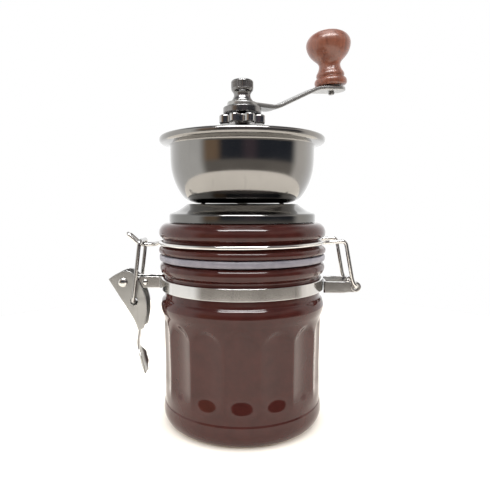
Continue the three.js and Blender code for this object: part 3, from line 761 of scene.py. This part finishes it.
def make_bowl():
    """The spun bowl with its rolled lip, and the tube from its floor down to the burrs."""
    profile = [
        [16, 0, 0.3], [26, 0, 1.5], [31.2, 1.5], [34, 4.1], [36.7, 8.5], [38.6, 13], [39.8, 17.4],
        [40.4, 22.5], [40.5, 30.8, 0.6], [40.9, 31.9, 0.5], [45.0, 32.8, 0.6], [46.1, 33.5], [46.5, 34.9],
        [46.2, 36.1], [45.2, 36.7], [43.3, 36.7], [41.2, 36.1], [39.9, 34.5], [39.6, 29.8], [39.5, 22.5],
        [38.9, 17.4], [37.7, 13],
        [35.8, 8.8], [33.2, 4.8], [30.8, 2.4], [26, 0.9, 1.5], [16, 0.9, 0.3],
    ]
    bowl = turned("bowl_spinning", profile, low("hopper_bowl").z, 256)
    finished(bowl, "polished_steel", "hopper_bowl", material="bowl_steel")
    tube_wall = [[16.2, 0, 0.2], [17.8, 0, 0.2], [17.8, 32.6, 0.2], [16.2, 32.6, 0.2]]
    tube = turned("throat_liner", tube_wall, low("throat_tube").z, 128)
    finished(even_shading(tube), "satin_steel", "throat_tube")


BRIDGE_THICKNESS = 1.6


def make_bridge():
    """A bent strip over the throat that holds the shaft's upper bush, with two long screws."""
    foot_z = low("bridge").z + BRIDGE_THICKNESS / 2
    top_z = high("bridge").z - BRIDGE_THICKNESS / 2
    end_x, rounding = high("bridge").x, 6.0
    half = [([end_x, 0, foot_z], None), ([18.6, 0, foot_z], 2), ([9.5, 0, top_z], 2)]
    whole = [*half, *[([-x, y, z], reach) for (x, y, z), reach in reversed(half)]]
    line = spaced(rounded(whole, steps=6), 0.6)
    count = len(line) - 1

    def half_width(share):
        from_end = min(abs(line[round(share * count)].x - s * end_x) for s in (-1, 1))
        return 6.0 if from_end > rounding else max(0.6, math.sqrt(rounding ** 2 - (rounding - from_end) ** 2))

    strip = folded("bridge_strip", line, BRIDGE_THICKNESS, half_width, lambda share: 0.0, 13)
    finished(even_shading(strip), "satin_steel", "bridge")
    bush = [[3.4, 0, 0.3], [5, 0, 0.3], [5, 5.3, 0.2], [7.6, 5.3, 0.3], [7.6, 7, 0.4], [3.4, 7, 0.3]]
    finished(even_shading(turned("shaft_bush", bush, low("upper_bush").z, 64)), "bush_brass", "upper_bush")
    head = high("bridge_screw_left").z - low("bridge_screw_left").z
    screw = [
        [0, 0], [1.4, 0.6, 0.2], [1.4, head - 2.2, 0.1], [3, head - 2.2, 0.2], [3, head - 1.0, 0.5],
        [2.1, head - 0.2], [0, head],
    ]

    def crossed(r, z, angle):
        """Sinks a cross recess into the head's crown."""
        if z < head - 1.4 or r > 1.75:
            return r, z
        x, y = abs(r * math.sin(angle)), abs(r * math.cos(angle))
        return (r, z - 0.9) if min(x, y) < 0.36 else (r, z)

    for side in ("left", "right"):
        node = f"bridge_screw_{side}"
        obj = turned(f"long_screw_{side}", screw, low(node).z, 96, False, crossed, 0.35)
        obj.data.transform(Matrix.Translation((middle(node).x * MM, 0, 0)))
        finished(obj, "dark_steel", node)


def make_housing():
    """The black housing that carries the outer burr, with stiffening ribs under its flange."""
    profile = [
        [16.6, 33.3, 0.4], [29, 33.3, 0.5], [29, 29.8, 0.6], [22.8, 28.2, 1], [21.4, 26, 1], [21.4, 0, 0.6],
        [17.8, 0, 0.5], [17.8, 2, 0.5], [19.9, 4, 0.5], [19.9, 27, 0.8], [16.6, 29.6, 0.8],
    ]
    ribs = 12

    def ribbed(r, z, angle):
        rib = max(0.0, math.cos(angle * ribs)) ** 12
        outside = r > 21 and 1.5 < z < 28.6
        return (r + 0.9 * rib * soft_step(z, 1.5, 4), z) if outside else (r, z)

    obj = turned("mill_housing", profile, low("burr_housing").z, ribs * 20, True, ribbed, 1.0)
    finished(obj, "housing_plastic", "burr_housing")


# ---------- crank ----------

NUT_LOBES = 8


def make_shaft():
    """Steel shaft with a thicker collar under the adjusting nut and a threaded top."""
    tall = high("drive_shaft").z - low("drive_shaft").z
    collar_low, collar_high = 94.5, 112.5
    profile = [
        [0, 0], [2.4, 0, 0.3], [3, 0.7, 0.3], [3, collar_low, 0.2], [4.3, collar_low, 0.3],
        [4.3, collar_high, 0.3], [3, collar_high, 0.2], [3, tall - 0.7, 0.3], [2.3, tall, 0.3], [0, tall],
    ]
    pitch, thread_depth = 1.25, 0.22

    def threaded(r, z, angle):
        if not 2.9 < r < 4.4 or z < collar_low + 1 or abs(z - collar_high) < 1 or z > tall - 1.2:
            return r, z
        phase = (z / pitch - angle / TURN) % 1
        return r - thread_depth * (1 - abs(2 * phase - 1)), z

    obj = turned("shaft_turned", profile, low("drive_shaft").z, 48, False, threaded, 0.22)
    finished(obj, "dark_steel", "drive_shaft")


def make_adjusting_nut():
    """A thick star-shaped nut with soft lobes, a bevelled rim and a shallow dished top."""
    rim, deep, tall = 12.4, 1.2, high("adjusting_nut").z - low("adjusting_nut").z
    profile = [
        [3.4, 0, 0.3], [rim - 0.6, 0, 0.2], [rim, 0.6, 0.3], [rim, tall - 1.5, 0.3],
        [rim - 0.5, tall - 1.0, 0.3], [rim - 2.6, tall - 0.2, 0.3], [8.6, tall, 0.5],
        [7.4, tall - 0.35, 0.5], [3.4, tall - 0.35, 0.3],
    ]

    def lobed(r, z, angle):
        share = soft_step(r, 6.5, rim - 1.2)
        wave = -math.cos(NUT_LOBES * (angle - math.pi / 2))  # a notch at the back, for the stopper's lug
        lobe = wave * (1.25 - 0.25 * wave)  # broad lobes, narrower notches
        return r + deep * lobe * share, z

    obj = turned("star_nut", profile, low("adjusting_nut").z, 288, True, lobed, 0.8)
    finished(even_shading(obj), "polished_steel", "adjusting_nut", material="plated_steel")


def make_stopper():
    """A thick washer whose lug drops into a notch of the star nut."""
    bottom, top = low("stopper_plate").z, high("stopper_plate").z
    washer_bottom = 174.1
    tall = top - washer_bottom
    ring = [
        [3.4, 0, 0.2], [10.5, 0, 0.15], [10.8, 0.3, 0.15], [10.8, tall - 0.5, 0.2], [10.3, tall, 0.2],
        [3.4, tall, 0.2],
    ]
    washer = turned("washer", ring, washer_bottom, 128)
    lug_line = [([0, 8.4, top - 1.1], None), ([0, 13.9, top - 1.1], 1.0), ([0, 13.9, bottom + 0.1], None)]
    lug_line = spaced(rounded(lug_line, steps=6), 1.0)
    lug = swept("lug", lug_line, lambda i, share: sheet_section(2.6, -0.6, 0.6, 0.3))
    plate_and_lug = even_shading(joined("stopper_washer", [washer, lug]))
    finished(plate_and_lug, "polished_steel", "stopper_plate", material="dark_steel")


def make_cap_nut():
    """A domed hand nut: flared foot, waist and a finely knurled head."""
    tall = high("cap_nut").z - low("cap_nut").z
    profile = [
        [3.4, 0.1, 0.2], [6, 0, 0.3], [6, 0.7, 0.5], [5.1, 2.0], [4.6, 3.5], [4.9, 4.9], [5.8, 5.9],
        [6.2, 6.7, 0.4], [6.2, tall - 1.0, 0.4], [5.6, tall - 0.2, 0.6], [0, tall],
    ]
    ridges, depth = 40, 0.2

    def knurled(r, z, angle):
        on_head = soft_step(z, 6.9, 7.3) * (1 - soft_step(z, tall - 1.5, tall - 1.1)) * (r > 5.9)
        return r - depth * on_head * (0.5 + 0.5 * math.cos(angle * ridges)), z

    obj = turned("hand_nut", profile, low("cap_nut").z, ridges * 8, False, knurled, 0.35)
    finished(obj, "dark_steel", "cap_nut")


ARM_SHEET = 2.2
# The middle of the arm's sheet, in its own plane: ([along, 0, up], how far the bend reaches).
ARM_LINE = [([-8.4, 0, 0], None), ([20.6, 0, 0], 3), ([50.4, 0, 14.5], 3), ([73.6, 0, 16.9], None)]


def make_arm():
    """Flat bar with a round eye on the shaft, a cranked middle and a rounded pad under the knob."""
    line = rounded([(Vector(p), reach) for p, reach in ARM_LINE], steps=10)
    line = spaced(line, 0.55)
    end = line[-1].x
    eye, waist, pad = 8.4, 6.0, 7.2

    def half_width(share):
        x = line[round(share * (len(line) - 1))].x
        round_eye = math.sqrt(max(eye ** 2 - x * x, 0.1)) if x < 7.5 else 0
        round_pad = pad if x < end - pad else math.sqrt(max(pad ** 2 - (x - end + pad) ** 2, 0.1))
        body = waist + (pad - waist) * soft_step(x, 50, 58)
        return max(round_eye, body if x > 0 else 0, 0.3) if x < end - pad else min(round_pad, body)

    obj = folded("arm_bar", line, ARM_SHEET, half_width, lambda share: 0.0, 21)
    hub = Vector((0, 0, low("crank_arm").z + ARM_SHEET / 2))
    turn = Matrix.Rotation(ARM_ANGLE, 4, "Z")
    obj.data.transform(Matrix.Translation(hub * MM) @ turn)
    finished(even_shading(obj), "satin_steel", "crank_arm")


# ---------- knob ----------


def knob_frame():
    """The spindle's own frame: Z along the spindle, from the middle of the arm's sheet."""
    joint = JOINTS["knob_turn"]
    axis = Vector(joint["axis"]).normalized()
    across = Vector((-math.sin(ARM_ANGLE), math.cos(ARM_ANGLE), 0))
    rotation = Matrix((across.cross(axis), across, axis)).transposed().to_4x4()
    return Matrix.Translation(Vector(joint["pos_m"])) @ rotation


def make_knob():
    """The turned knob, the plug in its top, and the spindle and washer that hold it."""
    place = knob_frame()
    body = [
        [2, 2.3, 0.3], [9.2, 2.3, 0.7], [10.0, 3.3], [10.1, 5.2], [9.5, 6.5], [8.3, 7.5, 0.3], [8.85, 8.4],
        [8.5, 9.9], [7.4, 11.5], [6.7, 13.3], [6.5, 14.8], [7.0, 16.2], [8.2, 17.5], [9.8, 18.9],
        [11.4, 20.6], [12.75, 22.8], [13.5, 25.0], [13.8, 27.0], [13.5, 29.0], [12.6, 30.8],
        [11.1, 32.5], [8.9, 33.9],
        [6.2, 34.9], [3.5, 35.35, 0.3], [3.5, 25, 0.3], [2, 25, 0.3],
    ]
    plug = [[0, 31], [3.2, 31, 0.3], [3.2, 35.1, 0.2], [1.9, 35.5], [0, 35.6]]
    spindle = [
        [0, -3.1], [1.5, -3.1, 0.2], [1.9, -2.6, 0.2], [1.9, -1.5, 0.2], [1.6, -1.4, 0.1], [1.6, 25.4, 0.2],
        [2.9, 25.4, 0.2], [2.9, 27, 0.3], [2.2, 27.8, 0.3], [0, 27.8],
    ]
    washer = [[2.0, 1.4, 0.15], [6.6, 1.4, 0.2], [6.6, 2, 0.2], [2.0, 2, 0.15]]
    makes = [
        ("knob_turning", body, "wood", "knob", 128, True, 0.8),
        ("knob_stopper", plug, "wood", "knob_plug", 64, False, None),
        ("spindle_pin", spindle, "dark_steel", "knob_spindle", 48, False, None),
        ("spindle_ring", washer, "satin_steel", "spindle_washer", 64, True, None),
    ]
    for name, profile, slot, node, segments, closed, step in makes:
        obj = turned(name, profile, 0, segments, closed, step=step)
        obj.matrix_world = place
        finished(obj, slot, node)


# ---------- parts of the mill that keep their CAD shape ----------

KEPT = {
    "outer_burr": "burr_ceramic", "inner_burr": "burr_ceramic", "burr_spider": "housing_plastic",
    "lower_bush": "bush_brass", "burr_spring": "satin_steel", "burr_nut": "dark_steel",
}


def finish_kept():
    """Gives the CAD nodes that keep their own shape a detailed material."""
    for node, slot in KEPT.items():
        obj = frame["nodes"][node]
        obj.data.materials.clear()
        obj.data.materials.append(MATERIALS[slot])


# ---------- studio ----------

CAMERA_PLACE = (0.00155, -0.27046, 0.12246)
CAMERA_PITCH = math.radians(90 - 4.75)
FOCAL_PIXELS, FRAME_PIXELS, SENSOR = 470, 490, 36


def make_camera():
    """The photograph's viewing angle, as fitted to it."""
    data = bpy.data.cameras.new("camera")
    data.sensor_width = SENSOR
    data.lens = FOCAL_PIXELS / FRAME_PIXELS * SENSOR
    data.clip_start = 0.01
    camera = bpy.data.objects.new("camera", data)
    camera.location = CAMERA_PLACE
    camera.rotation_euler = (CAMERA_PITCH, 0, 0)
    bpy.context.scene.collection.objects.link(camera)
    bpy.context.scene.camera = camera


def make_floor():
    """A round pale table top."""
    radius, count = 0.36, 96
    turns = [k / count * TURN for k in range(count)]
    edge = [(radius * math.cos(a), radius * math.sin(a), 0) for a in turns]
    mesh = bpy.data.meshes.new("floor")
    mesh.from_pydata(edge, [], [list(range(count))])
    floor = bpy.data.objects.new("floor", mesh)
    bpy.context.scene.collection.objects.link(floor)
    f = Finish("pale_floor", (0.9, 0.9, 0.9), 0.6, Specular_IOR_Level=0.0)
    f.colour(f.mix(f.spread(f.noise(6, 2), 0.0, 1.0), (0.91, 0.86, 0.78), (0.93, 0.88, 0.80)))
    mesh.materials.append(f.material)
    floor.location.z = -0.0002


def area_light(name, place, target, size, power, glossy=True):
    """A rectangular lamp aimed at a target; without glossy it doesn't show in reflections."""
    data = bpy.data.lights.new(name, "AREA")
    data.shape = "RECTANGLE"
    data.size, data.size_y = size
    data.energy = power
    light = bpy.data.objects.new(name, data)
    light.location = place
    light.rotation_euler = (Vector(target) - Vector(place)).to_track_quat("-Z", "X").to_euler()
    light.visible_camera = False
    light.visible_glossy = glossy
    bpy.context.scene.collection.objects.link(light)
    return light


# what the polished metal mirrors, in linear colour
ROOM = (0.050, 0.058, 0.075)
DOOR = (0.42, 0.29, 0.19)
SHELF = (0.13, 0.10, 0.12)
TABLE = (0.34, 0.31, 0.28)
UPPER_WALL = (0.62, 0.56, 0.53)
CEILING = (0.22, 0.22, 0.23)
LEFT_SIDE = (1.20, 1.19, 1.16)
RIGHT_SIDE = (1.18, 1.13, 1.07)
WALL_BEHIND = (1.25, 1.25, 1.25)


def make_world():
    """White surroundings, with a dimmer room behind the camera that the polished metal mirrors."""
    world = bpy.data.worlds.new("studio")
    world.use_nodes = True
    tree = world.node_tree
    tree.nodes.clear()
    link = tree.links.new

    def node(kind, **settings):
        made = tree.nodes.new(kind)
        for key, value in settings.items():
            setattr(made, key, value)
        return made

    def ranged(source, low_in, high_in, low_out=0.0, high_out=1.0):
        made = node("ShaderNodeMapRange", interpolation_type="SMOOTHSTEP")
        link(source, made.inputs["Value"])
        limits = {"From Min": low_in, "From Max": high_in, "To Min": low_out, "To Max": high_out}
        for key, value in limits.items():
            made.inputs[key].default_value = value
        return made.outputs["Result"]

    def maths(operation, first, second):
        made = node("ShaderNodeMath", operation=operation)
        for socket, value in zip(made.inputs, [first, second]):
            if isinstance(value, bpy.types.NodeSocket):
                link(value, socket)
            else:
                socket.default_value = value
        return made.outputs[0]

    def mixed(share, first, second):
        made = node("ShaderNodeMix", data_type="RGBA")
        link(share, made.inputs[0])
        for socket, value in zip([made.inputs[6], made.inputs[7]], [first, second]):
            if isinstance(value, bpy.types.NodeSocket):
                link(value, socket)
            else:
                socket.default_value = (*value, 1)
        return made.outputs[2]

    def window(source, start, end, soft):
        """1 between two angles in degrees, with soft edges."""
        rise = ranged(source, math.radians(start - soft), math.radians(start + soft))
        fall = ranged(source, math.radians(end - soft), math.radians(end + soft), 1.0, 0.0)
        return maths("MULTIPLY", rise, fall)

    split = node("ShaderNodeSeparateXYZ")
    link(node("ShaderNodeTexCoord").outputs["Generated"], split.inputs[0])
    side, depth, height = split.outputs
    # turn is 0 straight in front and grows to the right, height is the sine of the elevation
    turn = maths("ARCTAN2", side, maths("MULTIPLY", depth, -1))
    room = window(turn, start=-63, end=88, soft=9)
    door = window(turn, start=-63, end=-35, soft=7)
    shelf = window(turn, start=2, end=22, soft=8)
    room_colour = mixed(door, ROOM, DOOR)
    room_colour = mixed(shelf, room_colour, SHELF)
    room_colour = mixed(ranged(height, -0.02, -0.12), room_colour, TABLE)
    room_colour = mixed(ranged(height, 0.18, 0.5), room_colour, UPPER_WALL)
    light_side = mixed(ranged(turn, 0.0, 1.0), LEFT_SIDE, RIGHT_SIDE)
    behind = ranged(depth, 0.2, 0.9)
    light_side = mixed(behind, light_side, WALL_BEHIND)
    surround = mixed(room, light_side, room_colour)
    surround = mixed(ranged(height, 0.55, 0.8), surround, CEILING)
    back = node("ShaderNodeBackground")
    link(surround, back.inputs["Color"])
    white = node("ShaderNodeBackground")
    white.inputs["Color"].default_value = (1.0, 1.0, 1.0, 1)
    pick = node("ShaderNodeMixShader")
    link(node("ShaderNodeLightPath").outputs["Is Camera Ray"], pick.inputs[0])
    link(back.outputs[0], pick.inputs[1])
    link(white.outputs[0], pick.inputs[2])
    link(pick.outputs[0], node("ShaderNodeOutputWorld").inputs["Surface"])
    bpy.context.scene.world = world


def make_lights():
    """A lamp for the highlights, a soft box above, two fills and a broad soft sky."""
    target = (0, 0, 0.1)
    lamp = area_light("lamp_bar", (0.0, -0.45, 1.0), target, size=(0.22, 0.9), power=15)
    lamp.visible_diffuse = False
    area_light("softbox_top", (0.0, 0.05, 1.05), target, size=(0.7, 0.5), power=2.0)
    for side in (-1, 1):
        place = (side * 0.9, -0.5, 0.5)
        area_light(f"fill_{side}", place, (0, 0, 0), size=(0.7, 0.7), power=5.5, glossy=False)
    sun = bpy.data.lights.new("skylight", "SUN")
    sun.energy = 3.6
    sun.angle = math.radians(120)
    sky = bpy.data.objects.new("skylight", sun)
    sky.visible_glossy = False
    bpy.context.scene.collection.objects.link(sky)


# ---------- everything ----------

bpy.context.scene.view_settings.view_transform = "Standard"
make_camera()
make_world()
make_floor()
make_lights()

make_jar()
make_band()
make_rivet("rivet_clamp", "clamp_rivet", shank=0.85, head=1.7, plate_y=5.0)
make_rivet("rivet_pivot", "lever_rivet", shank=1.4, head=2.7, plate_y=6.25)
make_lever()
make_latch_wire()
make_bracket()
make_bail()
make_lid()
make_cone()
make_bowl()
make_bridge()
make_housing()
make_shaft()
make_adjusting_nut()
make_stopper()
make_cap_nut()
make_arm()
make_knob()
finish_kept()
